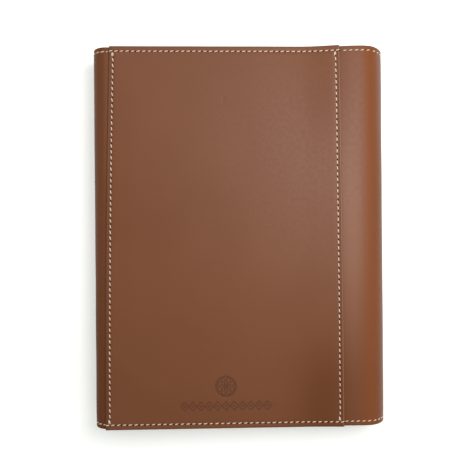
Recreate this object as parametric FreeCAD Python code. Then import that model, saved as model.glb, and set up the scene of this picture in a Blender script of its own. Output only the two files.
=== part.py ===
import FreeCAD, Part
import math
import os

from FreeCAD import Placement, Rotation, Vector

# A closed A5 notebook cover that lies on its front: X runs from the fore-edge to the spine,
# Y from the tail to the head, Z from the table up. Millimetres and degrees.

# Thicknesses
panel_leather = 1.4
shell_leather = 1.2
pocket_leather = 1.0
lining_cloth = 0.6
board = 1.6
notebook_card = 0.8
page_stack = 10.0

# Gaps between pieces that slide or move past each other
slip_gap = 0.1
tongue_space = 2.8
tongue_gap = 0.4
block_gap = 0.2

# Outlines. Half heights are measured from the middle of the cover to its head or tail.
overall_width = 178.6
panel_half = 115.0
shell_half = 114.7
lining_half = 114.2
pocket_half = 113.8
board_half = 110.5
notebook_half = 106.5
page_half = 105.0
gusset_radius = 9.0

# The raised panels are slightly narrower at the head than at the tail.
panel_left_tail = -81.8
panel_left_head = -78.2
panel_right_tail = 61.8
panel_right_head = 60.1

# Sewing
seam_inset = 2.6
stitch_pitch = 3.45
stitch_length = 2.1
thread_width = 0.85
groove_width = 1.1
groove_depth = 0.5
thread_recess = 0.05

# Corners
panel_corner = 1.5
flap_corner = 22.0
shell_corner = 3.0


# ---------------------------------------------------------------- layers, from the table up

def layer_above(below, thickness, gap=0.0):
    """The lowest and highest Z of a layer that lies on the layer below it."""
    return below[1] + gap, below[1] + gap + thickness


front_panel_z = (0.0, panel_leather)
front_shell_z = layer_above(front_panel_z, shell_leather)
front_board_z = layer_above(front_shell_z, board)
front_lining_z = layer_above(front_board_z, lining_cloth)
front_card_z = layer_above(front_lining_z, notebook_card, slip_gap)
front_pocket_z = layer_above(front_card_z, pocket_leather, slip_gap)
flap_shell_z = layer_above(front_pocket_z, shell_leather, tongue_gap)
flap_lining_z = layer_above(flap_shell_z, lining_cloth)
page_z = (front_pocket_z[1] + tongue_space, front_pocket_z[1] + tongue_space + page_stack)
closed_thickness = page_z[1] + block_gap + front_pocket_z[1]


def on_back(layer):
    """The same layer of the back cover, which mirrors the front cover."""
    return closed_thickness - layer[1], closed_thickness - layer[0]


# ---------------------------------------------------------------- bends

spine_radius = closed_thickness / 2 - panel_leather
spine_x = overall_width / 2 - spine_radius
spine_z = closed_thickness / 2
gusset_x = -overall_width / 2 + gusset_radius
gusset_z = on_back(front_shell_z)[1] - gusset_radius

# Each bend has a stretch that stays rigid in its middle, and a fold on each side of it.
rigid_half_angle = 30.0
# The hinge line of a quarter bend lies so that the leather keeps its length as it unfolds.
hinge_share = math.pi / 4

board_left = -74.5
board_right = 57.0
lining_step = 60.0
front_edge = -84.0
notebook_left = -71.0
page_left = -70.0
page_right = 76.4
tape_thickness = 0.4
flap_end = -30.0
pocket_left = -76.5
pocket_right = 5.0
pocket_side_seam = 4.5
pocket_end_seam = 6.5

magnet_radius = 6.0
magnet_x = -48.0
magnet_rows = (-62.0, 0.0, 62.0)
flap_magnet_in_leather = 0.5
flap_magnet_in_lining = 0.4

loop_inner = 4.6
loop_leather = 1.0
loop_half = 15.0
loop_tab_end = -74.2
loop_clearance = 1.5


# ---------------------------------------------------------------- shapes

def block(x_range, y_range, z_range):
    """A plain box between two values on each axis."""
    size = [high - low for low, high in (x_range, y_range, z_range)]
    corner = Vector(x_range[0], y_range[0], z_range[0])
    return Part.makeBox(size[0], size[1], size[2], corner)


def plate(corners, z_range, radius=0.0, rounded=None):
    """A flat plate with the given corners; those that rounded accepts get the corner radius."""
    points = [Vector(x, y, z_range[0]) for x, y in corners]
    face = Part.Face(Part.makePolygon(points + points[:1]))
    solid = face.extrude(Vector(0, 0, z_range[1] - z_range[0]))
    if radius == 0.0:
        return solid
    upright = [edge for edge in solid.Edges if is_upright(edge) and is_rounded(edge, rounded)]
    return solid.makeFillet(radius, upright)


def is_upright(edge):
    start, end = edge.Vertexes[0].Point, edge.Vertexes[-1].Point
    return abs(start.x - end.x) < 1e-6 and abs(start.y - end.y) < 1e-6


def is_rounded(edge, rounded):
    return rounded is None or rounded(edge.Vertexes[0].Point)


def rectangle(left, right, half):
    return [(left, -half), (right, -half), (right, half), (left, half)]


def bend(centre_x, centre_z, inner, outer, start, end, y_range):
    """Part of a tube along Y: a band between two radii and two angles, counted from +X to +Z."""
    def at(radius, angle):
        turn = math.radians(angle)
        return Vector(centre_x + radius * math.cos(turn), y_range[0],
                      centre_z + radius * math.sin(turn))

    middle = (start + end) / 2
    edges = [
        Part.Arc(at(outer, start), at(outer, middle), at(outer, end)).toShape(),
        Part.LineSegment(at(outer, end), at(inner, end)).toShape(),
        Part.Arc(at(inner, end), at(inner, middle), at(inner, start)).toShape(),
        Part.LineSegment(at(inner, start), at(outer, start)).toShape(),
    ]
    return Part.Face(Part.Wire(edges)).extrude(Vector(0, y_range[1] - y_range[0], 0))


def both_ends(make, half):
    """The same piece at the head and at the tail, made by a function of its Y range."""
    return [make((half[0], half[1])), make((-half[1], -half[0]))]


def cut_all(solid, tools):
    for tool in tools:
        solid = solid.cut(tool)
    return solid


# ---------------------------------------------------------------- sewing

seam_half = panel_half - seam_inset
thread_y = (seam_half - thread_width / 2, seam_half + thread_width / 2)
groove_y = (seam_half - groove_width / 2, seam_half + groove_width / 2)


def panel_corners(inset):
    return [
        (panel_left_tail + inset, inset - panel_half),
        (panel_right_tail - inset, inset - panel_half),
        (panel_right_head - inset, panel_half - inset),
        (panel_left_head + inset, panel_half - inset),
    ]


def outer_skin(layer, from_outside):
    """The depth range between the groove's floor and just short of the outer face."""
    if layer[0] < spine_z:
        return layer[0] + from_outside, layer[0] + groove_depth
    return layer[1] - groove_depth, layer[1] - from_outside


def stitches_along(start, end, z_range):
    """Separate stitches in a straight row from one point to another."""
    run = Vector(end[0] - start[0], end[1] - start[1], 0)
    count = max(1, round(run.Length / stitch_pitch))
    heading = math.degrees(math.atan2(run.y, run.x))
    row = []
    for index in range(count):
        centre = Vector(start[0], start[1], z_range[0]) + run * ((index + 0.5) / count)
        stitch = Part.makeBox(stitch_length, thread_width, z_range[1] - z_range[0],
                              Vector(-stitch_length / 2, -thread_width / 2, 0))
        stitch.Placement = Placement(centre, Rotation(Vector(0, 0, 1), heading))
        row.append(stitch)
    return row


def stitches_round(centre_x, centre_z, radius, start, end):
    """Separate stitches over a bend, at the head and at the tail."""
    arc_length = radius * math.radians(end - start)
    count = round(arc_length / stitch_pitch)
    step = (end - start) / count
    reach = math.degrees(stitch_length / radius) / 2
    rows = []
    for index in range(count):
        middle = start + (index + 0.5) * step
        rows += both_ends(lambda y_range: bend(
            centre_x, centre_z, radius - groove_depth, radius - thread_recess,
            middle - reach, middle + reach, y_range), thread_y)
    return rows


def panel_groove(layer):
    """The sewing groove round a raised panel."""
    z_range = outer_skin(layer, -groove_depth)
    outside = plate(panel_corners(seam_inset - groove_width / 2), z_range)
    inside = plate(panel_corners(seam_inset + groove_width / 2), z_range)
    return outside.cut(inside)


def panel_stitches(layer):
    corners = panel_corners(seam_inset)
    z_range = outer_skin(layer, thread_recess)
    rows = []
    for start, end in zip(corners, corners[1:] + corners[:1]):
        shorten = Vector(end[0] - start[0], end[1] - start[1], 0)
        shorten = shorten / shorten.Length * groove_width
        rows += stitches_along((start[0] + shorten.x, start[1] + shorten.y),
                               (end[0] - shorten.x, end[1] - shorten.y), z_range)
    return rows


def strip_stitches(layer, left, right):
    """Stitches at the head and tail of bare shell leather beside a panel."""
    z_range = outer_skin(layer, thread_recess)
    return (stitches_along((left, seam_half), (right, seam_half), z_range)
            + stitches_along((left, -seam_half), (right, -seam_half), z_range))


def strip_grooves(layer, left, right):
    z_range = outer_skin(layer, -groove_depth)
    return both_ends(lambda y_range: block((left, right), y_range, z_range), groove_y)


# ---------------------------------------------------------------- leather

strip_left = panel_right_tail + slip_gap


def raised_panel(layer):
    solid = plate(panel_corners(0.0), layer, panel_corner)
    return solid.cut(panel_groove(layer))


def front_shell():
    solid = plate(rectangle(front_edge, spine_x, shell_half), front_shell_z, shell_corner,
                  lambda point: point.x < 0)
    return cut_all(solid, strip_grooves(front_shell_z, strip_left, spine_x))


def back_shell():
    layer = on_back(front_shell_z)
    solid = block((gusset_x, spine_x), (-shell_half, shell_half), layer)
    return cut_all(solid, strip_grooves(layer, strip_left, spine_x))


def shell_bend(centre_x, centre_z, radius, start, end):
    solid = bend(centre_x, centre_z, radius - shell_leather, radius, start, end,
                 (-shell_half, shell_half))
    grooves = both_ends(lambda y_range: bend(
        centre_x, centre_z, radius - groove_depth, radius + groove_depth, start, end, y_range),
        groove_y)
    return cut_all(solid, grooves)


def lining_bend(centre_x, centre_z, radius, start, end):
    outer = radius - shell_leather
    return bend(centre_x, centre_z, outer - lining_cloth, outer, start, end,
                (-lining_half, lining_half))


def notebook_bend(start, end):
    outer = spine_z - front_card_z[0]
    return bend(spine_x, spine_z, outer - notebook_card, outer, start, end,
                (-notebook_half, notebook_half))


# ---------------------------------------------------------------- covers

def cover_board(layer):
    return block((board_left, board_right), (-board_half, board_half), layer)


def magnet_discs(z_range):
    return [Part.makeCylinder(magnet_radius, z_range[1] - z_range[0],
                              Vector(magnet_x, y, z_range[0])) for y in magnet_rows]


def cover_lining(lining_layer, board_layer):
    """A lining that lies on the board, and drops to the shell leather round it."""
    full_z = (min(lining_layer[0], board_layer[0]), max(lining_layer[1], board_layer[1]))
    around_board = block((gusset_x, lining_step), (-lining_half, lining_half), full_z)
    around_board = around_board.cut(cover_board(board_layer))
    if lining_layer[0] > board_layer[0]:
        thin_z = (board_layer[0], board_layer[0] + lining_cloth)
    else:
        thin_z = (board_layer[1] - lining_cloth, board_layer[1])
    beside_spine = block((lining_step, spine_x), (-lining_half, lining_half), thin_z)
    return around_board.fuse(beside_spine)


def sleeve(pocket_layer, card_layer, lining_layer):
    """A leather sleeve, open towards the spine, sewn to the lining on its other three sides."""
    low = min(pocket_layer[0], lining_layer[1])
    high = max(pocket_layer[1], lining_layer[0])
    full_z = (low, high)
    solid = block((pocket_left, pocket_right), (-pocket_half, pocket_half), full_z)
    hollow_z = (card_layer[0] - slip_gap, card_layer[1] + slip_gap)
    hollow = block((pocket_left + pocket_side_seam, pocket_right + 1.0),
                   (pocket_end_seam - pocket_half, pocket_half - pocket_end_seam), hollow_z)
    return solid.cut(hollow)


def back_sleeve():
    """The sleeve in the back cover, cut away where the pen loop is sewn on."""
    solid = sleeve(on_back(front_pocket_z), on_back(front_card_z), on_back(front_lining_z))
    notch_half = loop_half + loop_clearance
    notch = block((pocket_left - 1.0, loop_tab_end + 0.2), (-notch_half, notch_half),
                  (page_z[1], on_back(front_lining_z)[0]))
    return solid.cut(notch)


def notebook_card_cover(layer):
    return block((notebook_left, spine_x), (-notebook_half, notebook_half), layer)


# ---------------------------------------------------------------- flap and pen loop

def flap_outline(layer, inset=0.0):
    return plate(rectangle(gusset_x, flap_end - inset, shell_half - inset), layer,
                 flap_corner - inset, lambda point: point.x > gusset_x + 1.0)


def flap_groove():
    z_range = outer_skin(flap_shell_z, -groove_depth)
    outside = flap_outline(z_range, seam_inset - groove_width)
    inside = flap_outline(z_range, seam_inset)
    return outside.cut(inside)


def flap_stitches():
    inset = seam_inset - groove_width / 2
    z_range = outer_skin(flap_shell_z, thread_recess)
    edge_x = flap_end - inset
    edge_y = shell_half - inset
    straight_x = flap_end - flap_corner
    straight_y = shell_half - flap_corner
    return (stitches_along((gusset_x, edge_y), (straight_x, edge_y), z_range)
            + stitches_along((edge_x, straight_y), (edge_x, -straight_y), z_range)
            + stitches_along((straight_x, -edge_y), (gusset_x, -edge_y), z_range))


def pen_loop():
    """A leather ring along Y with a tab that is sewn flat on the back lining."""
    outer = loop_inner + loop_leather
    ring_z = on_back(front_lining_z)[0] - outer
    along = Vector(0, 1, 0)
    start = Vector(gusset_x, -loop_half, ring_z)
    ring = Part.makeCylinder(outer, 2 * loop_half, start, along)
    tab = block((gusset_x, loop_tab_end), (-loop_half, loop_half),
                (ring_z + loop_inner, ring_z + outer))
    return ring.fuse(tab).cut(Part.makeCylinder(loop_inner, 2 * loop_half, start, along))


# ---------------------------------------------------------------- the assembly

def bend_nodes(names, make, middle_angle):
    """The rigid middle of a bend and the fold on each side of it."""
    first, middle, last = names
    return {
        first: make(middle_angle - 90, middle_angle - rigid_half_angle),
        middle: make(middle_angle - rigid_half_angle, middle_angle + rigid_half_angle),
        last: make(middle_angle + rigid_half_angle, middle_angle + 90),
    }


def cover_nodes():
    board_discs = magnet_discs(front_board_z)
    return {
        "front_panel": raised_panel(front_panel_z),
        "front_shell": front_shell(),
        "front_board": cut_all(cover_board(front_board_z), board_discs),
        "front_magnets": Part.makeCompound(board_discs),
        "front_lining": cover_lining(front_lining_z, front_board_z),
        "front_pocket": sleeve(front_pocket_z, front_card_z, front_lining_z),
        "front_thread": Part.makeCompound(
            panel_stitches(front_panel_z)
            + strip_stitches(front_shell_z, strip_left, spine_x)),
        "back_panel": raised_panel(on_back(front_panel_z)),
        "back_shell": back_shell(),
        "back_board": cover_board(on_back(front_board_z)),
        "back_lining": cover_lining(on_back(front_lining_z), on_back(front_board_z)),
        "back_pocket": back_sleeve(),
        "back_thread": Part.makeCompound(
            panel_stitches(on_back(front_panel_z))
            + strip_stitches(on_back(front_shell_z), strip_left, spine_x)),
        "pen_loop": pen_loop(),
    }


def spine_nodes():
    nodes = bend_nodes(
        ("spine_fold_front", "spine_shell", "spine_fold_back"),
        lambda start, end: shell_bend(spine_x, spine_z, spine_radius, start, end), 0)
    nodes.update(bend_nodes(
        ("spine_lining_front", "spine_lining", "spine_lining_back"),
        lambda start, end: lining_bend(spine_x, spine_z, spine_radius, start, end), 0))
    nodes["spine_thread"] = Part.makeCompound(
        stitches_round(spine_x, spine_z, spine_radius, -90, 90))
    return nodes


def notebook_nodes():
    nodes = bend_nodes(("notebook_fold_front", "notebook_spine", "notebook_fold_back"),
                       notebook_bend, 0)
    nodes["notebook_front_cover"] = notebook_card_cover(front_card_z)
    nodes["notebook_back_cover"] = notebook_card_cover(on_back(front_card_z))
    nodes["page_block"] = block((page_left, page_right), (-page_half, page_half), page_z)
    nodes["block_tape"] = block((page_right, page_right + tape_thickness),
                                (-page_half, page_half), page_z)
    return nodes


def gusset_nodes():
    nodes = bend_nodes(
        ("gusset_fold_back", "gusset_shell", "gusset_fold_flap"),
        lambda start, end: shell_bend(gusset_x, gusset_z, gusset_radius, start, end), 180)
    nodes.update(bend_nodes(
        ("gusset_lining_back", "gusset_lining", "gusset_lining_flap"),
        lambda start, end: lining_bend(gusset_x, gusset_z, gusset_radius, start, end), 180))
    nodes["gusset_thread"] = Part.makeCompound(
        stitches_round(gusset_x, gusset_z, gusset_radius, 90, 270))
    return nodes


def flap_nodes():
    magnet_z = (flap_shell_z[1] - flap_magnet_in_leather, flap_lining_z[0] + flap_magnet_in_lining)
    discs = magnet_discs(magnet_z)
    return {
        "flap_shell": cut_all(flap_outline(flap_shell_z), discs + [flap_groove()]),
        "flap_lining": cut_all(flap_outline(flap_lining_z, shell_half - lining_half), discs),
        "flap_magnets": Part.makeCompound(discs),
        "flap_thread": Part.makeCompound(flap_stitches()),
    }


def hinge_line(centre_x, centre_z, radius, side_x, side_z):
    """Where a quarter bend of this radius turns, as X and Z."""
    reach = hinge_share * radius
    return round(centre_x + side_x * reach, 3), round(centre_z + side_z * reach, 3)


def print_hinges():
    print("cover_open", hinge_line(spine_x, spine_z, spine_radius, 1, -1))
    print("back_fold", hinge_line(spine_x, spine_z, spine_radius, 1, 1))
    print("gusset_fold", hinge_line(gusset_x, gusset_z, gusset_radius, -1, 1))
    print("flap_fold", hinge_line(gusset_x, gusset_z, gusset_radius, -1, -1))
    print("pen loop centre", round(gusset_x, 3),
          round(on_back(front_lining_z)[0] - loop_inner - loop_leather, 3))
    print("closed thickness", round(closed_thickness, 3))


def main():
    os.makedirs("parts", exist_ok=True)
    nodes = {}
    for group in (cover_nodes(), spine_nodes(), notebook_nodes(), gusset_nodes(), flap_nodes()):
        nodes.update(group)
    for name, shape in nodes.items():
        shape.exportStep("parts/" + name + ".step")
    print_hinges()
    print(len(nodes), "nodes")


main()
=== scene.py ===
import math

import bpy
import numpy as np
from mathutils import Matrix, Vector


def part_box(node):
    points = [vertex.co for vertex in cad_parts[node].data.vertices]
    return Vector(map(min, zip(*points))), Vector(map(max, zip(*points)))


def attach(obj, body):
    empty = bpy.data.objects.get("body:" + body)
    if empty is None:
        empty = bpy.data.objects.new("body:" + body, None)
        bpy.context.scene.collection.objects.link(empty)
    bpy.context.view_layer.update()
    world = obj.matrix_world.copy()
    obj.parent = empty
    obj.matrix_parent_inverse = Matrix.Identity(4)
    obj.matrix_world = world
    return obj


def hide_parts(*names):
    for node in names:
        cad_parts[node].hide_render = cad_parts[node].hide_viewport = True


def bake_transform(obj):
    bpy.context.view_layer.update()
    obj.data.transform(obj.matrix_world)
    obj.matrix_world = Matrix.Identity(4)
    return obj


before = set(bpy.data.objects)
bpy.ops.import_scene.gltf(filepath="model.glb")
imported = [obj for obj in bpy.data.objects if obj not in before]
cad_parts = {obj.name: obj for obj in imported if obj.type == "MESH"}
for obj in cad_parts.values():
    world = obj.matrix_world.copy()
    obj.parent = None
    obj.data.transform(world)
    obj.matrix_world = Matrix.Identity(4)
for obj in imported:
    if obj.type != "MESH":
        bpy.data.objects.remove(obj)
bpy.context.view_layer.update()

# ---- places, read from the frame

MM = 0.001

panel_low, panel_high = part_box("back_panel")
back_low, back_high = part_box("back_shell")
front_low, front_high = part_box("front_shell")
spine_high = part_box("spine_shell")[1]
gusset_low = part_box("gusset_shell")[0]
flap_low, flap_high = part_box("flap_shell")
board_low, board_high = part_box("back_board")
page_low, page_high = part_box("page_block")
loop_low, loop_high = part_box("pen_loop")
card_low, card_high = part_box("notebook_front_cover")
flap_lining_low, flap_lining_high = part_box("flap_lining")

shell_leather = back_high.z - back_low.z
panel_leather = panel_high.z - panel_low.z
lining_cloth = flap_lining_high.z - flap_lining_low.z
card = card_high.z - card_low.z
pocket_leather = 1.0 * MM

panel_half = panel_high.y
shell_half = back_high.y
lining_half = flap_lining_high.y
notebook_half = card_high.y

spine_x = back_high.x
spine_z = (back_high.z + front_low.z) / 2
spine_radius = spine_high.x - spine_x
gusset_x = back_low.x
gusset_radius = gusset_x - gusset_low.x
gusset_z = back_high.z - gusset_radius

# How much narrower the raised panels are at the head than at the tail, on each side.
head_inset_left = 3.7 * MM
head_inset_right = 1.8 * MM

# Sewing. The head and tail seams lie a little further in than the side seams.
seam_inset = 2.6 * MM
end_seam_inset = 3.1 * MM
stitch_pitch = 3.45 * MM
stitch_length = 2.5 * MM
thread_radius = 0.3 * MM
tight_radius = 0.27 * MM
hole_length = 1.3 * MM
hole_width = 0.86 * MM
hole_offset = 0.25 * MM
seam_half = panel_half - end_seam_inset

# Where a row is sewn twice, the second stitch lies this much further in, beside and above the
# first, and is turned by this many degrees.
second_share, second_beside, second_above, second_turn = 0.12, 0.5 * MM, 0.15 * MM, 14

# How far the stitches of each row turn from its line, in degrees.
left_slant, right_slant, level_slant = 12, 6, 9


# ---- small mathematics

def smooth(value, low, high):
    """0 below low, 1 above high, and a soft step between them."""
    share = np.clip((value - low) / (high - low), 0, 1)
    return share * share * (3 - 2 * share)


def hump(distance, width):
    """1 at no distance, falling softly to 0 over about twice the width."""
    return np.exp(-(distance / width) ** 2)


def ripple(a, b, wavelength, seed, waves=9):
    """A soft, irregular, repeatable surface between about -1 and 1."""
    random = np.random.RandomState(seed)
    total = np.zeros(np.broadcast(a, b).shape)
    for _ in range(waves):
        heading = random.uniform(0, math.tau)
        length = wavelength * random.uniform(0.7, 1.6)
        phase = random.uniform(0, math.tau)
        total = total + np.sin(
            math.tau * (a * math.cos(heading) + b * math.sin(heading)) / length + phase)
    return total * 2 / waves


def spaced(low, high, step):
    """Evenly spaced values from low to high, about a step apart."""
    return np.linspace(low, high, max(2, int(round((high - low) / step)) + 1))


def merged(*groups):
    """Grid lines from several lists, sorted, with near doubles left out."""
    values = np.sort(np.concatenate([np.atleast_1d(group) for group in groups]))
    keep = np.concatenate([[True], np.diff(values) > 0.03 * MM])
    return values[keep]


# ---- meshes

def mesh_object(name, places, faces, uv=None, values=None):
    """A smooth-shaded mesh object from arrays; values are named numbers, one for each vertex."""
    mesh = bpy.data.meshes.new(name)
    mesh.from_pydata(places.tolist(), [], [tuple(face) for face in faces])
    mesh.shade_smooth()
    if uv is not None:
        layer = mesh.uv_layers.new(name="UVMap")
        corners = np.zeros(len(mesh.loops), int)
        mesh.loops.foreach_get("vertex_index", corners)
        layer.data.foreach_set("uv", uv[corners].astype(np.float32).ravel())
    for key, numbers in (values or {}).items():
        attribute = mesh.attributes.new(key, "FLOAT", "POINT")
        attribute.data.foreach_set("value", numbers.astype(np.float32))
    piece = bpy.data.objects.new(name, mesh)
    bpy.context.scene.collection.objects.link(piece)
    return piece


def ring_faces(low, high, count):
    """Quads between two rings of count corners that start at these numbers."""
    return [(low + corner, high + corner, high + (corner + 1) % count, low + (corner + 1) % count)
            for corner in range(count)]


class Path:
    """A line in the XZ plane that a sheet follows along Y, with its outward normal."""

    def __init__(self):
        self.parts = [[], [], [], []]

    def add(self, *stretch):
        """Joins on arrays of X, Z and the normal's X and Z, which start where the path ends."""
        for values, numbers in zip(self.parts, stretch):
            numbers = np.broadcast_to(numbers, stretch[0].shape)
            values.append(numbers[1:] if values else numbers)
        return self

    def flat(self, lines, z, facing):
        """A level stretch through the given X values; facing is 1 up or -1 down."""
        return self.add(np.asarray(lines), z, 0.0, float(facing))

    def bend(self, centre_x, centre_z, radius, start, end, facing=1, step=3.0):
        """A round stretch, between angles from +X to +Z; facing is 1 away from the centre.

        Its steps are finer at both ends, so that no line shows where it meets another sheet."""
        near = np.array([0.3, 1.0, 1.9]) * np.sign(end - start)
        turn = spaced(start, end, step)
        turn = np.radians(np.concatenate(
            [turn[:1], start + near, turn[1:-1], end - near[::-1], turn[-1:]]))
        return self.add(centre_x + radius * np.cos(turn), centre_z + radius * np.sin(turn),
                        facing * np.cos(turn), facing * np.sin(turn))

    def arrays(self):
        """X, Z and the normal's X and Z, one array each."""
        return [np.concatenate(values) for values in self.parts]


def level(along, x, y):
    """No relief and no lift."""
    return 0.0 * along * y


class Sheet:
    """A sheet of leather, cloth or card of even thickness that follows a path.

    half is the half height, a number or one for each point of the path. relief moves the outer
    face in or out, lift moves the whole sheet, and both are functions of the distance along the
    path, of X and of Y. free says which of the path's two ends is a finished edge. start is the
    distance at the path's first end, so that two sheets that meet can count on."""

    def __init__(self, path, half, thickness, relief=level, lift=level, free=(True, True),
                 step_y=2.0 * MM, lines_y=None, shift_x=None, start=0.0):
        self.path = path.arrays()
        steps = np.hypot(*np.diff(self.path[:2]))
        self.along = np.concatenate([[0], np.cumsum(steps)])
        self.length = self.along[-1]
        self.half = np.broadcast_to(half, self.along.shape).astype(float)
        self.thickness, self.relief, self.lift = thickness, relief, lift
        self.free, self.shift_x, self.start = free, shift_x, start
        self.round_edge = min(0.42 * thickness, 0.5 * MM)
        self.burnish = 1.4 * MM
        self.lines_y = self.default_lines(step_y) if lines_y is None else lines_y

    def default_lines(self, step_y):
        half = self.half.max()
        near_edge = half - np.array([0, 0.12, 0.3, 0.6, 1.0]) * self.round_edge
        return merged(spaced(-half, half, step_y), near_edge, -near_edge)

    def from_edge(self, along, y, half):
        """Distance from the nearest finished edge."""
        distance = half - np.abs(y)
        if self.free[0]:
            distance = np.minimum(distance, along)
        if self.free[1]:
            distance = np.minimum(distance, self.length - along)
        return distance

    def drop(self, distance):
        """How far the face falls off at a rounded edge."""
        inside = np.clip(distance / self.round_edge, 0, 1)
        return self.round_edge * (1 - np.sqrt(np.clip(1 - (1 - inside) ** 2, 0, 1)))

    def placed(self, x, y, z, normal_x, normal_z, out):
        """Places that stand out from the path along its normal."""
        place = np.stack([x + normal_x * out, y + 0 * x, z + normal_z * out], -1)
        if self.shift_x:
            place[..., 0] = self.shift_x(place[..., 0], place[..., 1])
        return place

    def point(self, along, y):
        """A place on the outer face, with its normal and its direction along the path."""
        x, z, normal_x, normal_z = (np.interp(along, self.along, values) for values in self.path)
        step = 0.2 * MM
        ahead = np.minimum(along + step, self.length)
        behind = np.maximum(along - step, 0)
        way_x, way_z = (np.interp(ahead, self.along, values) - np.interp(behind, self.along, values)
                        for values in self.path[:2])
        out = self.relief(along + self.start, x, y) + self.lift(along, x, y)
        place = self.placed(x, y, z, normal_x, normal_z, out)
        normal = np.stack([normal_x, 0 * x, normal_z], -1)
        forward = np.stack([way_x, 0 * x, way_z], -1)
        forward = forward / np.linalg.norm(forward, axis=-1, keepdims=True)
        return place, normal, forward

    def build(self, name, values=None):
        """The closed mesh. values are named functions of X and Y, written as attributes."""
        share = self.lines_y / self.half.max()
        along = self.along[:, None] + 0 * share[None, :]
        y = self.half[:, None] * share[None, :]
        x, z, normal_x, normal_z = (numbers[:, None] + 0 * along for numbers in self.path)
        distance = self.from_edge(along, y, self.half[:, None])
        drop = self.drop(distance)
        lift = self.lift(along, x, y)
        outer = self.relief(along + self.start, x, y) + lift - drop
        inner = lift + drop - self.thickness
        places = [self.placed(x, y, z, normal_x, normal_z, out).reshape(-1, 3)
                  for out in (outer, inner)]
        rows, columns = along.shape
        count = rows * columns
        index = np.arange(count).reshape(rows, columns)
        quads = np.stack([index[:-1, :-1], index[1:, :-1], index[1:, 1:], index[:-1, 1:]], -1)
        quads = quads.reshape(-1, 4)
        border = np.concatenate([index[:, 0], index[-1, 1:], index[-2::-1, -1], index[0, -2:0:-1]])
        after = np.roll(border, -1)
        sides = np.stack([border, border + count, after + count, after], -1)
        faces = np.concatenate([quads, quads[:, ::-1] + count, sides])
        # These faces look to one side of the path. Where its normal is on the other, they turn round.
        way_x, way_z = np.diff(self.path[:2])[:, 0]
        if way_x * normal_z[0, 0] < way_z * normal_x[0, 0]:
            faces = faces[:, ::-1]
        uv = np.stack([along + self.start, y], -1).reshape(-1, 2)
        uv = np.concatenate([uv, uv + [0, 0.3]])
        edge = np.clip(drop / self.round_edge, 0, 1).ravel()
        rim = (1 - smooth(distance, 0, self.burnish)).ravel()
        numbers = {"edge": np.concatenate([edge, edge]), "rim": np.concatenate([rim, rim])}
        for key, function in (values or {}).items():
            found = (function(x, y) + 0 * along).ravel()
            numbers[key] = np.concatenate([found, 0 * found])
        piece = mesh_object(name, np.concatenate(places), faces, uv, numbers)
        # The end walls where two sheets meet are flat, so that the faces shade across without a line.
        walls = ((2 * len(quads), True), (rows - 1, True), (columns - 1, self.free[1]),
                 (rows - 1, True), (columns - 1, self.free[0]))
        flat = np.concatenate([np.full(number, not free) for number, free in walls])
        piece.data.polygons.foreach_set("use_smooth", ~flat)
        return piece


# ---- sewing

def stitch_shape(slant, gauge):
    """One stitch about the origin, lying along X and rising in Z, as rings of a twisted thread."""
    rings, sides = 13, 10
    twist = 2.6
    share = np.linspace(-1, 1, rings)
    height = gauge * (0.6 - 1.6 * np.abs(share) ** 3.2)
    radius = gauge * (1 - 0.28 * share ** 4)
    turn = np.linspace(0, math.tau, sides, endpoint=False)
    plies = 1 + 0.13 * np.cos(2 * turn[None, :] - twist * share[:, None])
    across = radius[:, None] * plies * np.cos(turn)[None, :]
    up = height[:, None] + radius[:, None] * plies * np.sin(turn)[None, :]
    length = share[:, None] * stitch_length / 2 + 0 * across
    slope = math.tan(math.radians(slant))
    places = np.stack([length, across + length * slope, up], -1).reshape(-1, 3)
    faces = []
    for ring in range(rings - 1):
        faces += ring_faces(ring * sides, (ring + 1) * sides, sides)
    last = rings * sides - 1
    ends = [tuple(range(sides)), tuple(range(last, last - sides, -1))]
    uv = np.stack([length, turn[None, :] * gauge + 0 * length], -1).reshape(-1, 2)
    return places, faces, ends, uv


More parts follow.
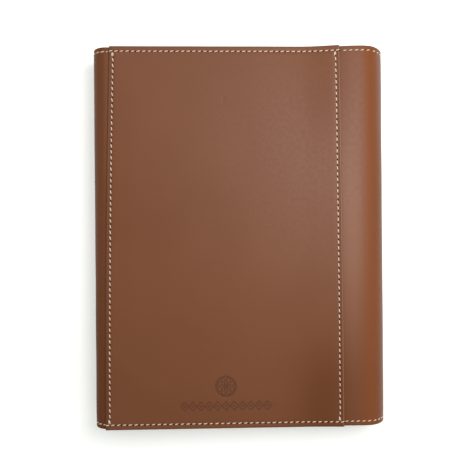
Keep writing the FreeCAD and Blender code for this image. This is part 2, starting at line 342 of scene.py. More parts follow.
class Seam:
    """Rows of stitches on sheets, gathered into one thread piece and one piece of painted shade in
    the needle holes.

    Neighbouring stitches share a hole."""

    def __init__(self):
        self.spots = []
        self.pricks = []

    def places(self, sheet, corners, reach, at, slant):
        """Place, normal, heading and slant at distances along a line of corners."""
        along = np.interp(at, reach, corners[:, 0])
        y = np.interp(at, reach, corners[:, 1])
        leg = np.clip(np.searchsorted(reach, at) - 1, 0, len(reach) - 2)
        way = np.diff(corners, axis=0)[leg] / np.diff(reach)[leg][:, None]
        place, normal, forward = sheet.point(along, y)
        heading = forward * way[:, :1] + np.array([0, 1, 0]) * way[:, 1:]
        return [spot + (slant,) for spot in zip(place, normal, heading)]

    def row(self, sheet, corners, slant, doubled=False):
        """Stitches along a line through (along, y) corners on a sheet, sewn twice at its ends."""
        corners = np.asarray(corners, float)
        reach = np.concatenate([[0], np.cumsum(np.hypot(*np.diff(corners, axis=0).T))])
        count = max(1, int(round(reach[-1] / stitch_pitch)))
        pitch = reach[-1] / count
        middles = (np.arange(count) + 0.5) * pitch
        self.spots += self.places(sheet, corners, reach, middles, slant)
        self.pricks += self.places(sheet, corners, reach, np.arange(count + 1) * pitch, slant)
        if doubled:
            further = second_share * pitch
            for at in (middles[:1] + further, middles[-1:] - further):
                (place, normal, heading, _), = self.places(sheet, corners, reach, at, slant)
                beside = np.cross(normal, heading)
                place = place + second_beside * beside + second_above * normal
                self.spots.append((place, normal, heading, slant - second_turn))
        return self

    def thread(self, name):
        """All the stitches, each a little different."""
        random = np.random.RandomState(len(self.spots))
        shapes = {}
        places, faces, uvs = [], [], []
        start = 0
        for place, normal, heading, slant in self.spots:
            if slant not in shapes:
                gauge = tight_radius if slant == level_slant else thread_radius
                shapes[slant] = stitch_shape(slant, gauge)
            shape, quads, ends, uv = shapes[slant]
            side = np.cross(normal, heading)
            size = 1 + random.uniform(-0.06, 0.06)
            turn = random.uniform(-0.05, 0.05)
            x, across, up = (shape * size).T
            across = across + turn * x
            places.append(place + np.outer(x, heading) + np.outer(across, side)
                          + np.outer(up, normal))
            faces += [tuple(start + corner for corner in face) for face in quads + ends]
            uvs.append(uv + [start * stitch_pitch, 0])
            start += len(shape)
        return mesh_object(name, np.concatenate(places), faces, np.concatenate(uvs))

    def holes(self, name):
        """Painted shade in the pricked slots where the thread goes into the leather, as thin dark
        closed lenses.
        """
        sides, depth = 12, 0.09 * MM
        turn = np.linspace(0, math.tau, sides, endpoint=False)
        places, faces = [], []
        for number, (place, normal, heading, slant) in enumerate(self.pricks):
            side = np.cross(normal, heading)
            slope = math.tan(math.radians(slant))
            on = np.cos(turn) * hole_length / 2
            across = np.sin(turn) * hole_width / 2 - on * slope
            ring = place - hole_offset * side + np.outer(on, heading) + np.outer(across, side)
            middle = ring.mean(axis=0)
            places.append(np.concatenate([ring, [middle + normal * depth, middle - normal * depth]]))
            start = number * (sides + 2)
            for corner in range(sides):
                other = (corner + 1) % sides
                faces.append((start + corner, start + other, start + sides))
                faces.append((start + other, start + corner, start + sides + 1))
        return mesh_object(name, np.concatenate(places), faces)


# ---- materials

class Shader:
    """A material whose nodes are made by short calls."""

    def __init__(self, name):
        self.material = bpy.data.materials.new(name)
        self.material.use_nodes = True
        self.nodes = self.material.node_tree.nodes
        self.surface = self.nodes["Principled BSDF"]

    def node(self, kind, settings=None, **inputs):
        made = self.nodes.new("ShaderNode" + kind)
        for key, value in (settings or {}).items():
            setattr(made, key, value)
        for key, value in inputs.items():
            self.feed(made.inputs[key.replace("_", " ")], value)
        return made

    def feed(self, socket, value):
        if isinstance(value, bpy.types.NodeSocket):
            self.material.node_tree.links.new(value, socket)
        else:
            socket.default_value = value

    def set(self, **inputs):
        for key, value in inputs.items():
            self.feed(self.surface.inputs[key.replace("_", " ")], value)

    def math(self, operation, first, second=0.0):
        made = self.nodes.new("ShaderNodeMath")
        made.operation = operation
        self.feed(made.inputs[0], first)
        self.feed(made.inputs[1], second)
        return made.outputs[0]

    def mix(self, factor, first, second):
        made = self.nodes.new("ShaderNodeMix")
        made.data_type = "RGBA"
        self.feed(made.inputs["Factor"], factor)
        self.feed(made.inputs[6], first)
        self.feed(made.inputs[7], second)
        return made.outputs[2]

    def tint(self, colour, value, share, other):
        """The colour, drawn to another one by a share of a value."""
        return self.mix(self.math("MULTIPLY", value, share), colour, other)

    def uv(self):
        return self.node("UVMap", {"uv_map": "UVMap"}).outputs[0]

    def noise(self, place, scale, detail=3.0, roughness=0.5):
        return self.node("TexNoise", Vector=place, Scale=scale, Detail=detail,
                         Roughness=roughness).outputs["Fac"]

    def ramp(self, value, low, high):
        """0 at low, 1 at high."""
        made = self.node("MapRange", {"interpolation_type": "SMOOTHSTEP"}, Value=value)
        self.feed(made.inputs["From Min"], low)
        self.feed(made.inputs["From Max"], high)
        return made.outputs[0]

    def bump(self, height, distance, strength=1.0, below=None):
        made = self.node("Bump", Height=height, Distance=distance, Strength=strength)
        if below is not None:
            self.feed(made.inputs["Normal"], below)
        return made.outputs[0]

    def attribute(self, name):
        return self.node("Attribute", {"attribute_name": name}).outputs["Fac"]


def tone(red, green, blue):
    return (red, green, blue, 1.0)


def leather(name, light, dark, painted, grain=1.0):
    """Smooth full-grain leather: fine grain, uneven dye, painted edges, pressed places, and painted
    shade, painted highlight and painted glow.
    """
    # The paler tone of the painted highlight.
    highlight_tone = tone(0.29, 0.135, 0.08)
    # The warmer tone of the painted glow.
    warm = tone(0.25, 0.075, 0.026)
    made = Shader(name)
    place = made.uv()
    clouds = made.ramp(made.noise(place, 15.0), 0.25, 0.75)
    flecks = made.ramp(made.noise(place, 420.0, 4.0, 0.6), 0.35, 0.72)
    pores = made.node("TexVoronoi", {"feature": "SMOOTH_F1"}, Vector=place, Scale=1350.0)
    pores = pores.outputs["Distance"]
    fibre = made.noise(place, 3600.0, 3.0, 0.6)
    colour = made.mix(clouds, dark, light)
    colour = made.tint(colour, flecks, 0.22, dark)
    scuffed = made.ramp(made.noise(place, 75.0, 6.0, 0.7), 0.62, 0.8)
    colour = made.tint(colour, scuffed, 0.1, light)
    # Painted shade, the pressed mark and creases (the creases' darkening is painted shade), the
    # burnished rim, the painted highlight and the painted glow, each drawn from its attribute.
    for key, share, shade in (("painted_shade", 0.3, painted), ("pressed", 0.5, painted),
                              ("rim", 0.25, painted), ("worn", 0.6, highlight_tone), ("warm", 0.5, warm)):
        colour = made.tint(colour, made.attribute(key), share, shade)
    colour = made.mix(made.ramp(made.attribute("edge"), 0.2, 0.75), colour, painted)
    roughness = made.math("ADD", 0.45, made.math("MULTIPLY", flecks, 0.06))
    made.set(Base_Color=colour, Roughness=roughness)
    shape = made.bump(pores, 0.00005 * grain, 0.4)
    shape = made.bump(fibre, 0.00002 * grain, 0.5, shape)
    shape = made.bump(scuffed, 0.00002, 0.4, shape)
    # Less sheen under the painted shade and the painted glow.
    dulled = made.math("ADD", made.math("MULTIPLY", made.attribute("painted_shade"), 0.22),
                       made.math("MULTIPLY", made.attribute("warm"), 0.2))
    made.set(Normal=shape, Specular_IOR_Level=made.math("SUBTRACT", 0.3, dulled))
    return made.material


def cloth(name, light, dark):
    """A tight twill: diagonal ribs and uneven yarn."""
    thread_scale = 1500.0
    made = Shader(name)
    place = made.uv()
    turned = made.node("Mapping", Vector=place, Rotation=(0, 0, math.radians(58))).outputs[0]
    ribs = made.node("TexWave", {"wave_type": "BANDS"}, Vector=turned, Scale=thread_scale / 6.3,
                     Distortion=0.6, Detail=1.0).outputs["Fac"]
    yarn = made.noise(place, thread_scale, 2.0)
    uneven = made.noise(place, 60.0, 4.0)
    colour = made.mix(made.ramp(ribs, 0.2, 0.9), dark, light)
    colour = made.tint(colour, uneven, 0.35, dark)
    made.set(Base_Color=colour, Roughness=0.85, Specular_IOR_Level=0.2, Sheen_Weight=0.25)
    shape = made.bump(ribs, 0.00012, 0.6)
    made.set(Normal=made.bump(yarn, 0.00006, 0.5, shape))
    return made.material


def thread_material():
    """Waxed polyester thread, with its fibres along the stitch."""
    made = Shader("waxed_thread")
    place = made.uv()
    stretched = made.node("Mapping", Vector=place, Scale=(1.0, 6.0, 1.0)).outputs[0]
    fibres = made.noise(stretched, 2200.0)
    soiled = made.noise(place, 160.0)
    colour = made.mix(made.ramp(fibres, 0.3, 0.7), tone(0.72, 0.53, 0.38), tone(0.90, 0.73, 0.58))
    colour = made.tint(colour, soiled, 0.2, tone(0.5, 0.33, 0.21))
    made.set(Base_Color=colour, Roughness=0.6, Specular_IOR_Level=0.3, Sheen_Weight=0.15)
    made.set(Normal=made.bump(fibres, 0.00006, 0.7))
    return made.material


def card_material(name, light, dark):
    made = Shader(name)
    place = made.uv()
    felt = made.noise(place, 900.0, 5.0, 0.65)
    clouds = made.noise(place, 30.0)
    colour = made.mix(made.ramp(felt, 0.3, 0.7), dark, light)
    colour = made.tint(colour, clouds, 0.3, dark)
    colour = made.tint(colour, made.attribute("edge"), 0.6, light)
    made.set(Base_Color=colour, Roughness=0.62, Specular_IOR_Level=0.3)
    made.set(Normal=made.bump(felt, 0.00005, 0.5))
    return made.material


def frame_material(name, light, dark, scale, metallic=0.0, roughness=0.8):
    """For the hidden pieces that keep their own shape: board, magnets and tape."""
    made = Shader(name)
    place = made.node("TexCoord").outputs["Object"]
    speckle = made.noise(place, scale, 4.0, 0.6)
    made.set(Base_Color=made.mix(made.ramp(speckle, 0.3, 0.7), dark, light),
             Metallic=metallic,
             Roughness=made.math("ADD", roughness - 0.08, made.math("MULTIPLY", speckle, 0.16)))
    made.set(Normal=made.bump(speckle, 0.00005, 0.4))
    return made.material


def paper_material():
    """Ivory paper; on the block's sides the leaves show as fine lines."""
    made = Shader("ivory_paper")
    place = made.node("TexCoord").outputs["Object"]
    leaves = made.node("Mapping", Vector=place, Scale=(1.5, 1.5, 5200.0)).outputs[0]
    lines = made.noise(leaves, 1.0, 2.0)
    felt = made.noise(place, 700.0, 4.0)
    facing = made.node("SeparateXYZ", Vector=made.node("NewGeometry").outputs["Normal"]).outputs[2]
    upright = made.math("SUBTRACT", 1.0, made.math("ABSOLUTE", facing))
    shade = made.math("MULTIPLY", made.ramp(lines, 0.35, 0.65), upright)
    shadow = tone(0.66, 0.6, 0.48)
    colour = made.mix(shade, tone(0.86, 0.82, 0.71), shadow)
    colour = made.tint(colour, felt, 0.12, shadow)
    made.set(Base_Color=colour, Roughness=0.9, Specular_IOR_Level=0.15)
    made.set(Normal=made.bump(felt, 0.00004, 0.4))
    return made.material


brown_light = tone(0.188, 0.0640, 0.0240)
brown_dark = tone(0.172, 0.0570, 0.0205)
brown_edge = tone(0.066, 0.0225, 0.0095)
# A look is a material and a slot name.
panel_look = leather("panel_leather", brown_light, brown_dark, brown_edge), "panel_leather"
shell_look = leather("shell_leather", brown_light, brown_dark, brown_edge), "shell_leather"
pocket_look = leather("pocket_leather", brown_light, brown_dark, brown_edge, 1.4), "shell_leather"
lining_look = cloth("lining_twill", tone(0.2, 0.125, 0.08), tone(0.105, 0.062, 0.038)), "lining"
thread_look = thread_material(), "thread"
# Painted shade: the dark inside the needle holes.
hole_shade_tone = tone(0.02, 0.01, 0.006)
hole_shade_leather = leather("needle_hole_shade", tone(0.03, 0.014, 0.009), hole_shade_tone, hole_shade_tone)
notebook_card = card_material("notebook_card", tone(0.06, 0.055, 0.05), tone(0.028, 0.026, 0.024))
notebook_look = notebook_card, "notebook_card"
paper_look = paper_material(), "paper"


# ---- shapes of the leather

# The back cover is plump: beside the spine it rises a little above its own level.
crown_at_tail, crown_at_head = 1.2 * MM, 3.8 * MM
crown_x = spine_x - 3.4 * MM
crown_reach_in, crown_reach_out = 36.0 * MM, 15.0 * MM
# Places of the painted highlight on the crest beside the spine, the painted glow in the spine's bend
# and the painted shade at the corners beside the spine.
crest_x, crest_width, crest_height, crest_share = crown_x - 6 * MM, 8 * MM, 62 * MM, 0.85
warm_x, warm_width = spine_x + 1 * MM, 5 * MM
shaded_corner_x, shaded_corner_width = 50 * MM, 19 * MM


def crown(along, x, y):
    """Lift of the back cover beside the spine, highest at the head."""
    height = crown_at_tail + (crown_at_head - crown_at_tail) * smooth(y, 0.2 * shell_half, shell_half)
    reach = np.where(x < crown_x, crown_reach_in, crown_reach_out)
    share = np.clip(np.abs(x - crown_x) / reach, 0, 1)
    return height * np.cos(share * math.pi / 2) ** 2


def crest_painted_highlight(x, y):
    """Painted highlight on the crest beside the spine, strongest at its middle."""
    return crest_share * hump(x - crest_x, crest_width) * hump(y, crest_height)


def bend_warmth(x, y):
    """Painted glow where the leather turns down at the spine: a warmer colour, with less sheen."""
    return hump(x - warm_x, warm_width)


def painted_shade_mask(x, y):
    """Painted shade: the wrap round the fore-edge, darker towards the tail, and the corners beside
    the spine, most at the tail.
    """
    wrap = smooth(-x, -panel_low.x - 3 * MM, -panel_low.x + 1 * MM)
    wrap = wrap * (0.65 + 0.45 * smooth(-y, -0.4 * shell_half, 0.8 * shell_half))
    corners = np.where(y < 0, 0.95, 0.35) * smooth(np.abs(y), 0.35 * shell_half, 0.85 * shell_half)
    return np.maximum(wrap, corners * hump(x - shaded_corner_x, shaded_corner_width))


def seam_dip(distance, along_seam, pitch):
    """A stitched line presses the leather in, most under each stitch."""
    pull = 0.24 - 0.08 * np.cos(math.tau * along_seam / pitch)
    return -pull * MM * hump(distance, 0.95 * MM)


def fitted_pitch(length):
    """The stitch pitch that divides a row evenly."""
    return length / max(1, int(round(length / stitch_pitch)))


def shell_relief(seed):
    """Seam dips at head and tail and a soft unevenness, for a stretch of the base leather."""
    def relief(along, x, y):
        dip = seam_dip(np.abs(np.abs(y) - seam_half), along, stitch_pitch)
        return dip + 0.09 * MM * ripple(along, y, 55 * MM, seed)
    return relief


mark_x = (panel_low.x + panel_high.x + 0.3 * MM) / 2
rosette_y = panel_low.y + 25.2 * MM
rosette_radius = 6.1 * MM
petal_radius = 2.85 * MM
petal_count = 8
border_y = panel_low.y + 13.4 * MM
border_half = 27.5 * MM
lozenge_pitch = 5.0 * MM
lozenge_half = 2.7 * MM
lozenge_slope = 1.15
mark_depth = 0.2 * MM
stroke = 0.3 * MM
stroke_blur = 0.25 * MM


def stroke_of(distance):
    """1 inside a pressed line, falling softly to 0 beside it."""
    return 1 - smooth(np.abs(distance), stroke - stroke_blur / 2, stroke + stroke_blur)


def pressed_mark(x, y):
    """A rosette of overlapping circles in a ring, above a trellis border. 1 where pressed."""
    right, up = x - mark_x, y - rosette_y
    pressed = stroke_of(np.hypot(right, up) - rosette_radius)
    for number in range(petal_count):
        turn = math.tau * number / petal_count
        away = np.hypot(right - petal_radius * math.cos(turn), up - petal_radius * math.sin(turn))
        pressed = np.maximum(pressed, stroke_of(away - petal_radius))
    down = np.abs(y - border_y)
    cell = np.abs((right + lozenge_pitch / 2) % lozenge_pitch - lozenge_pitch / 2)
    lozenge = (cell * lozenge_slope + down - lozenge_half) / math.hypot(lozenge_slope, 1)
    trellis = np.maximum(stroke_of(lozenge), stroke_of(0.6 * np.maximum(cell, down)))
    return np.maximum(pressed, np.where(np.abs(right) < border_half, trellis, 0))


def lean(x, y):
    """The panel's outline: it narrows towards the head, more on the fore-edge side."""
    rise = (y + panel_half) / (2 * panel_half)
    across = (x - panel_low.x) / (panel_high.x - panel_low.x)
    shift = (1 - across) * head_inset_left * rise ** 1.8 - across * head_inset_right * rise ** 2.6
    return x + shift


panel_width = panel_high.x - panel_low.x

# Distance from the panel's left edge, Y and depth of the small dents.
small_dents = MM * np.array([(71, 83, 0.16), (31, -41, 0.12), (112, 21, 0.1), (95, -70, 0.1)])


def panel_relief(marked, seed):
    """The panel's face: four seams, a pressed rim, a soft swell and, on the back, the mark."""
    def relief(along, x, y):
        from_left = along - seam_inset
        from_side = np.minimum(from_left, panel_width - seam_inset - along)
        from_end = seam_half - np.abs(y)
        to_side = np.hypot(from_side, np.maximum(0, -from_end))
        to_end = np.hypot(from_end, np.maximum(0, -from_side))
        dip = np.where(np.abs(from_side) < np.abs(from_end),
                       seam_dip(to_side, y + seam_half, fitted_pitch(2 * seam_half)),
                       seam_dip(to_end, from_left, fitted_pitch(panel_width - 2 * seam_inset)))
        inner = np.minimum(from_side, from_end)
        rim = -0.1 * MM * (1 - smooth(inner, -2 * MM, 1.5 * MM))
        swell = 0.22 * MM * smooth(inner, 0, 16 * MM) - 0.22 * MM
        soft = 0.075 * MM * ripple(along, y, 48 * MM, seed)
        dents = sum(depth * hump(np.hypot(along - place, y - high), 1.1 * MM)
                    for place, high, depth in small_dents)
        creased = crease(np.minimum(along, panel_width - along))
        height = dip + rim + swell + soft - dents - crease_depth * creased
        if marked:
            height = height - mark_depth * pressed_mark(along + panel_low.x, y)
        return height
    return relief


arris_inset, arris_width = 0.5 * MM, 0.35 * MM
crease_inset, crease_width, crease_depth = 1.4 * MM, 0.3 * MM, 0.12 * MM


def crease(from_side):
    """A line pressed along each side of a panel, between its edge and its seam."""
    return hump(from_side - crease_inset, crease_width)


def arris_painted_highlight(x, y):
    """Painted highlight along the panel's upper edge beside the spine."""
    return 1.3 * hump(panel_high.x - x - arris_inset, arris_width)


# Painted shade along the side creases of a panel.
def crease_painted_shade(x, y):
    return 0.7 * crease(np.minimum(x - panel_low.x, panel_high.x - x))


def mark_and_crease_shade(x, y):
    """Darker where the face is pressed: the mark, and painted shade along the creases."""
    return np.maximum(pressed_mark(x, y), crease_painted_shade(x, y))


# Grid lines of a panel: those along its edges, and the steps between them.
edge_lines = MM * np.array(
    [0, 0.06, 0.15, 0.3, 0.5, 0.75, 1, 1.2, 1.4, 1.6, 1.9, 2.25, 2.6, 3, 3.5, 4.2])
step_across, step_up, fine_step = 1.6 * MM, stitch_pitch / 3, 0.36 * MM
rosette_reach = rosette_radius + 0.7 * MM
border_reach = 3.5 * MM


def graded(low, high, *stops):
    """Grid lines from low to high. Each stop is a place and the step that holds from there on."""
    places = [place for place, _ in stops] + [high - edge_lines[-1]]
    stretches = [spaced(start, end, step) for (start, step), end in zip(stops, places[1:])]
    return merged(low + edge_lines, high - edge_lines, *stretches)


def panel_lines(marked):
    """Grid lines across and up a panel, closer together over the pressed mark."""
    centre = mark_x - panel_low.x
    across = [(edge_lines[-1], step_across)]
    up = [(edge_lines[-1] - panel_half, step_up)]
    if marked:
        across += [(centre - border_half, 2 * fine_step), (centre - rosette_reach, fine_step),
                   (centre + rosette_reach, 2 * fine_step), (centre + border_half, step_across)]
        up += [(border_y - border_reach, fine_step), (border_y + border_reach, step_up),
               (rosette_y - rosette_reach, fine_step), (rosette_y + rosette_reach, step_up)]
    return panel_low.x + graded(0, panel_width, *across), graded(-panel_half, panel_half, *up)


# ---- the pieces


def finished(piece, look, *nodes):
    """Gives a new piece its look's material and hides the CAD nodes that it stands for."""
    material, slot = look
    piece.data.materials.append(material)
    if nodes:
        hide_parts(*nodes)


def riding(piece, body, look, *nodes):
    """Finishes a piece that moves with one body."""
    finished(piece, look, *nodes)
    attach(piece, body)


def bending(piece, half, look, *nodes):
    """Finishes a piece and bakes its place into its mesh; half is not used."""
    finished(piece, look, *nodes)
    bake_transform(piece)


# The base leather is cut where the back panel hides it.
hidden_cut = 0.0
path_step = 2.5 * MM
flap_end = flap_high.x
flap_corner = 22.0 * MM
front_corner = 3.0 * MM


def corner_lines(end_x, radius, towards):
    """X values that follow a round corner closely, from its start to the end of the sheet."""
    turn = np.radians(spaced(0, 90, 6))
    return end_x + towards * radius * (1 - np.sin(turn))


def half_of(path, half, end_x, radius):
    """Half height for each point of a path whose level end has round corners."""
    x, _, _, normal_z = path.arrays()
    beyond = np.clip(radius - np.abs(x - end_x), 0, radius)
    rounded = half - radius + np.sqrt(radius ** 2 - beyond ** 2)
    return np.where(np.abs(normal_z) > 0.999, rounded, half)


def front_path(z, facing, radius, left, corner=0.0):
    lines = spaced(left, spine_x, path_step)
    if corner:
        lines = merged(lines[lines > left + corner], corner_lines(left, corner, 1))
    return Path().flat(lines, z, facing).bend(spine_x, spine_z, radius, -90, 0, -facing)


def spine_path(z, facing, radius, left):
    return (Path().bend(spine_x, spine_z, radius, 0, 90, facing)
            .flat(spaced(left, spine_x, path_step)[::-1], z, facing))


def back_path(z, facing, radius):
    return (Path().flat(spaced(gusset_x, hidden_cut, path_step)[::-1], z, facing)
            .bend(gusset_x, gusset_z, radius, 90, 180, facing))


def flap_path(z, facing, radius, end):
    lines = spaced(gusset_x, end, path_step)
    lines = merged(lines[lines < end - flap_corner], corner_lines(end, flap_corner, -1))
    return Path().bend(gusset_x, gusset_z, radius, 180, 270, -facing).flat(lines, z, facing)


# Stretches that meet share a seed, so that their unevenness goes on from one to the next.
seeds = {"front": 11, "spine": 11, "back": 13, "flap": 13}


def long_sheets(depth, facing, half, thickness, reliefs, lifts, front_end, corner, flap_end,
                flap_step):
    """One long sheet in four stretches, from the front cover to the flap, that meet in the bends.

    depth is how far its shaped face lies inside the base leather's outer face. facing is 1 where
    that face looks outwards. reliefs and lifts hold a function for each stretch."""
    in_spine, in_gusset = spine_radius - depth, gusset_radius - depth
    high = back_high.z - depth
    front = front_path(front_low.z + depth, -facing, in_spine, front_end, corner)
    flap = flap_path(flap_low.z + depth, -facing, in_gusset, flap_end)
    # Path, half height, step along Y, and the stretch that comes before.
    stretches = {
        "front": (front, half_of(front, half, front_end, corner), 2.0 * MM, None),
        "back": (back_path(high, facing, in_gusset), half, 2.0 * MM, None),
        "spine": (spine_path(high, facing, in_spine, hidden_cut), half, 2.0 * MM, "front"),
        "flap": (flap, half_of(flap, half, flap_end, flap_corner), flap_step, "back"),
    }
    sheets = {}
    for name, (path, height, step_y, before) in stretches.items():
        sheets[name] = Sheet(path, height, thickness, reliefs[name], lifts.get(name, level),
                             (name == "front", name == "flap"), step_y,
                             start=sheets[before].length if before else 0.0)
    return sheets


def build_stretches(sheets, name, look, layer, fold, values):
    """Builds a long sheet's stretches, which stand for the CAD's nodes of one layer and its folds."""
    nodes = {
        "front": (f"front_{layer}", f"spine_{fold}_front"),
        "spine": (f"spine_{layer}", f"spine_{fold}_back"),
        "back": (f"back_{layer}", f"gusset_{fold}_back"),
        "flap": (f"gusset_{layer}", f"gusset_{fold}_flap", f"flap_{layer}"),
    }
    for half, sheet in sheets.items():
        bending(sheet.build(f"{name}_{half}", values.get(half)), half, look, *nodes[half])


def base_leather():
    """The one long leather of the real cover."""
    reliefs = {name: shell_relief(seed) for name, seed in seeds.items()}
    sheets = long_sheets(0.0, 1, shell_half, shell_leather, reliefs, {"spine": crown},
                         front_low.x, front_corner, flap_end, 2.0 * MM)
    # Painted shade on the wrap and the corners; on the spine, a painted highlight on the crest and a
    # painted glow in the bend.
    values = {name: {"painted_shade": painted_shade_mask} for name in sheets}
    values["spine"].update(worn=crest_painted_highlight, warm=bend_warmth)
    build_stretches(sheets, "leather", shell_look, "shell", "fold", values)
    return sheets


board_thickness = board_high.z - board_low.z


def over_board(x, y):
    """1 where the board lies between leather and lining, falling to 0 just beyond it."""
    across = (smooth(x, board_low.x - 2.2 * MM, board_low.x - 0.4 * MM)
              * (1 - smooth(x, board_high.x + 0.4 * MM, board_high.x + 3 * MM)))
    ends = 1 - smooth(np.abs(y), board_high.y + 0.3 * MM, board_high.y + 1.5 * MM)
    return across * ends


def board_rise(along, x, y):
    """How far a lining stands off the leather over the board."""
    return board_thickness * over_board(x, y)


def lining_lift(along, x, y):
    """The back cover's lining rises with the leather, but not where it lies on the board."""
    return board_rise(along, x, y) - crown(along, x, y) * (1 - over_board(x, y))


def lining_relief(seed):
    return lambda along, x, y: 0.05 * MM * ripple(along, y, 26 * MM, seed)


magnet_low, magnet_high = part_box("flap_magnets")
magnet_radius = (magnet_high.x - magnet_low.x) / 2
magnet_x = (magnet_high.x + magnet_low.x) / 2
magnet_rows = (magnet_low.y + magnet_radius, 0.0, magnet_high.y - magnet_radius)


def flap_lining_relief(along, x, y):
    """The flap's lining stands up a little over the hidden discs."""
    rise = 0.0
    for row in magnet_rows:
        rise = rise + 1 - smooth(np.hypot(x - magnet_x, y - row), magnet_radius - 1 * MM,
                                 magnet_radius + 1.5 * MM)
    return 0.15 * MM * rise + lining_relief(seeds["flap"])(along, x, y)


def linings():
    """The lining inside the base leather, over the boards."""
    reliefs = {name: lining_relief(seed) for name, seed in seeds.items()}
    reliefs["flap"] = flap_lining_relief
    lifts = {"front": board_rise, "spine": lining_lift, "back": board_rise}
    sheets = long_sheets(shell_leather + lining_cloth, -1, lining_half, lining_cloth, reliefs,
                         lifts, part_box("front_lining")[0].x, 0.0,
                         flap_end - (shell_half - lining_half), 1.0 * MM)
    build_stretches(sheets, "lining", lining_look, "lining", "lining", {})


def panels():
    """The raised panels. The back one carries the pressed mark."""
    sheets = {}
    for side, marked, facing, z, seed in (("back", True, 1, panel_high.z, 31),
                                          ("front", False, -1, 0.0, 32)):
        lines_x, lines_y = panel_lines(marked)
        sheet = Sheet(Path().flat(lines_x, z, facing), panel_half, panel_leather,
                      panel_relief(marked, seed), crown if marked else level,
                      lines_y=lines_y, shift_x=lean)
        # Painted highlight on the arris beside the spine, painted shade at the fore-edge and corners,
        # and under pressed the mark with painted shade in the creases.
        values = {"worn": arris_painted_highlight, "painted_shade": painted_shade_mask,
                  "pressed": mark_and_crease_shade if marked else crease_painted_shade}
        riding(sheet.build(side + "_overlay", values), side + "_cover", panel_look, side + "_panel")
        sheets[side] = sheet
    return sheets


# ---- inside: sleeves, notebook, pen loop

sleeve_low, sleeve_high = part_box("front_pocket")
sleeve_gap = 1.0 * MM
lining_level = front_high.z + lining_cloth


def sleeve_lift(along, x, y):
    """A sleeve is sewn down on three sides and stands off over the notebook's cover."""
    across = smooth(x, sleeve_low.x + 2.6 * MM, sleeve_low.x + 5 * MM)
    ends = 1 - smooth(np.abs(y), notebook_half + 0.7 * MM, notebook_half + 3.5 * MM)
    return board_rise(along, x, y) + sleeve_gap * across * ends


def sleeves():
    """A leather sleeve in each cover, which holds the notebook's cover."""
    sheets = {}
    for side, facing in (("front", 1), ("back", -1)):
        stack = lining_level + pocket_leather
        z = stack if facing > 0 else panel_high.z - stack
        fine = spaced(sleeve_low.x, sleeve_low.x + 7 * MM, 0.6 * MM)
        path = Path().flat(merged(spaced(sleeve_low.x, sleeve_high.x, 2 * MM), fine), z, facing)
        sheet = Sheet(path, sleeve_high.y, pocket_leather, lining_relief(41), sleeve_lift,
                      (True, True), 1.2 * MM)
        riding(sheet.build(side + "_sleeve"), side + "_cover", pocket_look, side + "_pocket")
        sheets[side] = sheet
    return sheets


def notebook_covers():
    """The notebook's card cover, loose round the block's spine."""
    radius = spine_z - card_high.z
    corner = 4.0 * MM
    front = front_path(card_high.z, 1, radius, card_low.x, corner)
    lines = merged(spaced(card_low.x, spine_x, path_step), corner_lines(card_low.x, corner, 1))
    spine = (Path().bend(spine_x, spine_z, radius, 0, 90, -1)
             .flat(lines[::-1], 2 * spine_z - card_high.z, -1))
    front_sheet = Sheet(front, half_of(front, notebook_half, card_low.x, corner), card,
                        free=(True, False))
    back_sheet = Sheet(spine, half_of(spine, notebook_half, card_low.x, corner), card,
                       free=(False, True), start=front_sheet.length)
    bending(front_sheet.build("notebook_cover_front"), "front", notebook_look,
            "notebook_front_cover", "notebook_fold_front")
    bending(back_sheet.build("notebook_cover_back"), "spine", notebook_look,
            "notebook_back_cover", "notebook_fold_back", "notebook_spine")


leaf_groups = 64
leaf_play = 0.16 * MM
leaf_corner = 3.5 * MM
leaf_gap = 0.024 * MM
block_round = 0.9 * MM


def leaf_outline(left, right, half):
    """Corners of a leaf, round at the fore-edge and square at the spine."""
    turn = np.radians(spaced(0, 90, 15))
    round_x, round_y = leaf_corner * (1 - np.sin(turn)), leaf_corner * (1 - np.cos(turn))
    head = [(left + x, half - y) for x, y in zip(round_x, round_y)]
    tail = [(left + x, y - half) for x, y in zip(round_x[::-1], round_y[::-1])]
    return [(right, half)] + head + tail + [(right, -half)]


def page_block():
    """Thin groups of leaves with slightly uneven edges, on a block with a soft round spine."""
    random = np.random.RandomState(7)
    places, faces = [], []
    thickness = (page_high.z - page_low.z) / leaf_groups
    for number in range(leaf_groups):
        share = (number + 0.5) / leaf_groups * 2 - 1
        round_spine = block_round * share ** 2
        left = page_low.x + random.uniform(0, leaf_play) + 0.5 * round_spine
        right = page_high.x - round_spine
        outline = leaf_outline(left, right, page_high.y - random.uniform(0, leaf_play))
        start, count = len(places), len(outline)
        low = page_low.z + number * thickness
        for z in (low + leaf_gap / 2, low + thickness - leaf_gap / 2):
            places += [(x, y, z) for x, y in outline]
        faces.append(tuple(range(start + count - 1, start - 1, -1)))
        faces.append(tuple(range(start + count, start + 2 * count)))
        faces += [quad[::-1] for quad in ring_faces(start, start + count, count)]
    piece = mesh_object("page_leaves", np.array(places), faces)
    piece.data.shade_flat()
    riding(piece, "back_cover", paper_look, "page_block")


def pen_loop():
    """A leather strap wrapped to a ring, with its tab on the back lining."""
    outer = (loop_high.z - loop_low.z) / 2
    wrapped = 348
    path = (Path().flat(spaced(gusset_x, loop_high.x, 1 * MM)[::-1], loop_high.z, 1)
            .bend(gusset_x, loop_high.z - outer, outer, 90, 90 + wrapped, 1, 6))
    sheet = Sheet(path, loop_high.y, pocket_leather, lining_relief(51), step_y=1.0 * MM)
    riding(sheet.build("pen_strap"), "back_cover", pocket_look, "pen_loop")


# ---- sewing on every seam

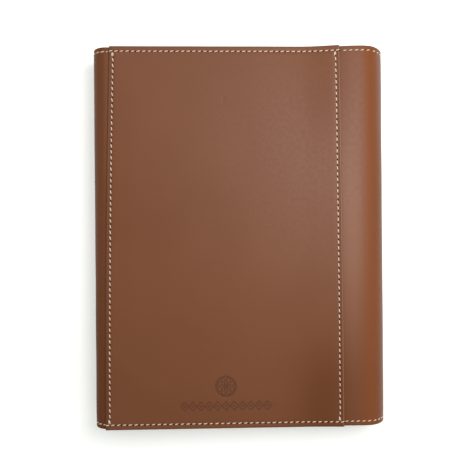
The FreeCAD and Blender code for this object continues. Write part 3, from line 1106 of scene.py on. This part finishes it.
def panel_seams(sheets):
    for side, sheet in sheets.items():
        left, right = seam_inset, panel_width - seam_inset
        seam = Seam()
        for edge, slant in ((left, left_slant), (right, right_slant)):
            seam.row(sheet, [(edge, -seam_half), (edge, seam_half)], slant, doubled=True)
        for edge in (-seam_half, seam_half):
            seam.row(sheet, [(left, edge), (right, edge)], level_slant)
            seam.row(sheet, [(0.1 * MM, edge), (left - 0.4 * MM, edge)], level_slant)
            seam.row(sheet, [(right + 0.4 * MM, edge), (panel_width - 0.1 * MM, edge)],
                     level_slant)
        body = side + "_cover"
        riding(seam.thread(side + "_panel_seams"), body, thread_look, side + "_thread")
        riding(seam.holes(side + "_panel_hole_shades"), body, (hole_shade_leather, "panel_leather"))


def shell_seams(sheets):
    """Head and tail seams on the bare base leather, beside the panels and round the bends."""
    quarter = math.pi / 2
    beside_panel = spine_x - panel_high.x
    front_end = sheets["front"].length
    turn = np.radians(spaced(0, 90, 15))
    reach = flap_corner - (shell_half - seam_half)
    corner = [(sheets["flap"].length - flap_corner + reach * math.sin(t),
               shell_half - flap_corner + reach * math.cos(t)) for t in turn]
    mirrored = [(along, -y) for along, y in corner[::-1]]
    stretches = {
        "front": (front_end - spine_radius * quarter - beside_panel, front_end),
        "spine": (0, spine_radius * quarter + beside_panel),
        "back": (hidden_cut - gusset_x - 3 * MM, hidden_cut - gusset_x + gusset_radius * quarter),
    }
    rows = {half: [[(start, y), (end, y)] for y in (seam_half, -seam_half)]
            for half, (start, end) in stretches.items()}
    rows["flap"] = [[(0, seam_half)] + corner + mirrored + [(0, -seam_half)]]
    stands_for = {"front": (), "spine": ("spine_thread",), "back": ("gusset_thread",),
                  "flap": ("flap_thread",)}
    for half, lines in rows.items():
        seam = Seam()
        for line in lines:
            seam.row(sheets[half], line, level_slant)
        bending(seam.thread("seam_" + half), half, thread_look, *stands_for[half])
        bending(seam.holes("seam_hole_shades_" + half), half, (hole_shade_leather, "shell_leather"))


def sleeve_seams(sheets):
    """The sleeves are sewn to the linings on three sides."""
    for side, sheet in sheets.items():
        inset = 1.6 * MM
        edge = sleeve_high.y - inset
        line = [(sheet.length - 0.5 * MM, edge), (inset, edge), (inset, -edge),
                (sheet.length - 0.5 * MM, -edge)]
        seam = Seam().row(sheet, line, level_slant)
        riding(seam.thread(side + "_sleeve_seam"), side + "_cover", thread_look)


# ---- hidden pieces that keep their shape

def dress_frame_pieces():
    """Materials for the boards, discs and tape, whose CAD shapes are used as they are."""
    board = frame_material("grey_board", tone(0.42, 0.39, 0.34), tone(0.3, 0.28, 0.25), 900.0)
    nickel = frame_material("nickel", tone(0.72, 0.7, 0.67), tone(0.6, 0.58, 0.55), 500.0, 1.0, 0.3)
    tape = frame_material("cotton_tape", tone(0.62, 0.58, 0.5), tone(0.45, 0.42, 0.36), 1500.0)
    for node, material in {"front_board": board, "back_board": board, "front_magnets": nickel,
                           "flap_magnets": nickel, "block_tape": tape}.items():
        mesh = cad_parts[node].data
        mesh.materials.clear()
        mesh.materials.append(material)


# ---- stage, light and camera

def stage():
    made = Shader("pale_floor")
    place = made.node("TexCoord").outputs["Object"]
    speckle = made.noise(place, 300.0)
    made.set(Base_Color=made.mix(speckle, tone(0.88, 0.88, 0.88), tone(0.91, 0.91, 0.91)),
             Roughness=0.9, Specular_IOR_Level=0.1,
             Emission_Color=tone(0.95, 1.0, 0.93), Emission_Strength=0.36)
    reach, level = 3.0, -0.45 * MM
    corners = [(-reach, -reach), (reach, -reach), (reach, reach), (-reach, reach)]
    floor = mesh_object("floor", np.array([(x, y, level) for x, y in corners]), [(0, 1, 2, 3)])
    floor.data.materials.append(made.material)


def area_light(name, place, size, power, colour):
    """A round soft light that looks at the middle of the cover's underside."""
    light = bpy.data.lights.new(name, "AREA")
    light.shape = "DISK"
    light.size = size
    light.energy = power
    light.color = colour
    lamp = bpy.data.objects.new(name, light)
    lamp.location = place
    lamp.rotation_euler = (-Vector(place)).to_track_quat("-Z", "Y").to_euler()
    lamp.visible_camera = False
    bpy.context.scene.collection.objects.link(lamp)


def lights():
    area_light("key", (0.18, 0.12, 0.42), size=0.26, power=1.36, colour=(1.0, 0.985, 0.965))
    area_light("haze", (-0.04, 0.34, 0.60), size=0.5, power=0.9, colour=(1.0, 0.99, 0.98))
    world = bpy.data.worlds.new("studio")
    world.use_nodes = True
    background = world.node_tree.nodes["Background"]
    background.inputs["Color"].default_value = (1.0, 1.0, 1.0, 1.0)
    background.inputs["Strength"].default_value = 0.42
    bpy.context.scene.world = world
    bpy.context.scene.view_settings.view_transform = "Standard"


camera_height = 300.0 * MM
field_width = 284.8 * MM
camera_lean = 1.5
camera_roll = 0.45
aim_x, aim_y = -2.3 * MM, 0.2 * MM


def camera():
    """Straight above the closed cover, with the small lean and turn of the real view."""
    data = bpy.data.cameras.new("camera")
    data.sensor_width = 36.0
    data.lens = data.sensor_width * camera_height / field_width
    data.clip_start, data.clip_end = 0.01, 20.0
    eye = bpy.data.objects.new("camera", data)
    lean_turn = math.radians(camera_lean)
    eye.location = (aim_x - camera_height * math.tan(lean_turn), aim_y,
                    panel_high.z + camera_height)
    eye.rotation_mode = "YXZ"
    eye.rotation_euler = (0, -lean_turn, math.radians(-camera_roll))
    bpy.context.scene.collection.objects.link(eye)
    bpy.context.scene.camera = eye


def main():
    leathers = base_leather()
    linings()
    overlays = panels()
    panel_seams(overlays)
    shell_seams(leathers)
    sleeve_seams(sleeves())
    notebook_covers()
    page_block()
    pen_loop()
    dress_frame_pieces()
    stage()
    lights()
    camera()


main()
